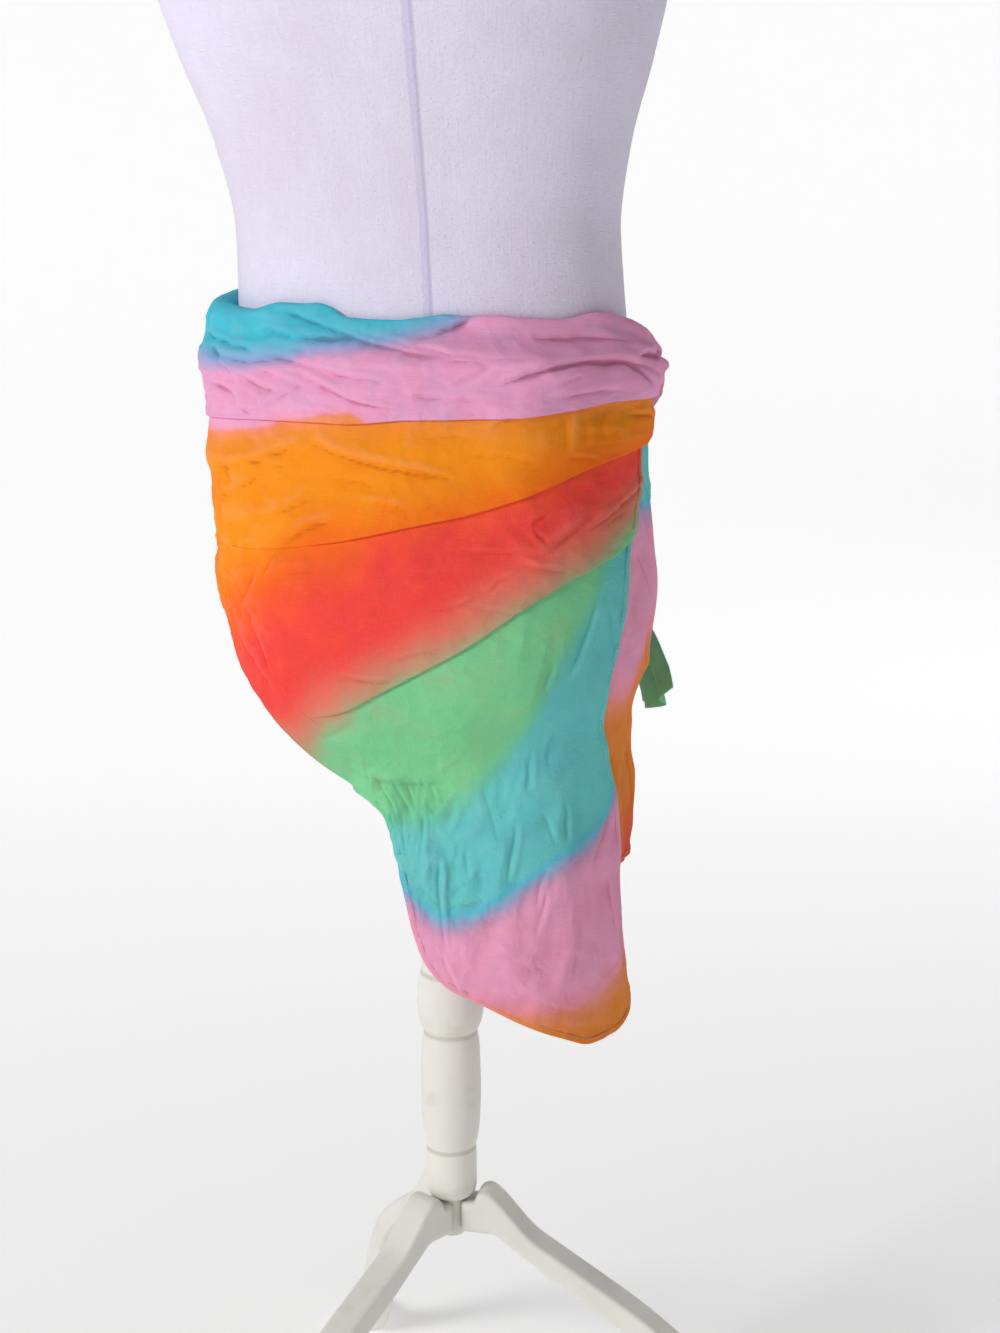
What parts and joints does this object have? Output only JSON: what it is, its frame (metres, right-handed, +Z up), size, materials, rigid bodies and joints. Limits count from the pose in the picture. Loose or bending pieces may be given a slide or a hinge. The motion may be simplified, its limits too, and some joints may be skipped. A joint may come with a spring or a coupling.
{
  "type": "sarong on a dress form",
  "caption": "Short striped sarong wound low round the hips and knotted at the side, one corner hanging, on a limbless dress form and wooden tripod stand.",
  "frame": {"origin": "bottom centre of the whole part's box, on the floor under the form", "axes": "+Z up; the form's back, with the sarong's hanging corner, faces -Y, and its front +Y; +X is the wearer's right, where the knot is"},
  "size_m": [0.5176, 0.543, 1.4943],
  "materials": {
    "dyed_cotton": "thin matt cotton, dyed in soft bands from turquoise through pink, orange and red to green",
    "jersey": "matt white stretch jersey",
    "painted_wood": "satin white paint"
  },
  "bodies": {
    "root": {"waist_roll": "dyed_cotton", "hip_fold": "dyed_cotton", "seat_fold": "dyed_cotton", "back_fall": "dyed_cotton", "front_fall": "dyed_cotton", "knot": "dyed_cotton", "tail_long": "dyed_cotton", "tail_short": "dyed_cotton", "form_body": "jersey", "form_neck_cap": "painted_wood", "stand_pole": "painted_wood", "stand_hub": "painted_wood", "stand_leg_a": "painted_wood", "stand_leg_b": "painted_wood", "stand_leg_c": "painted_wood"}
  },
  "joints": []
}
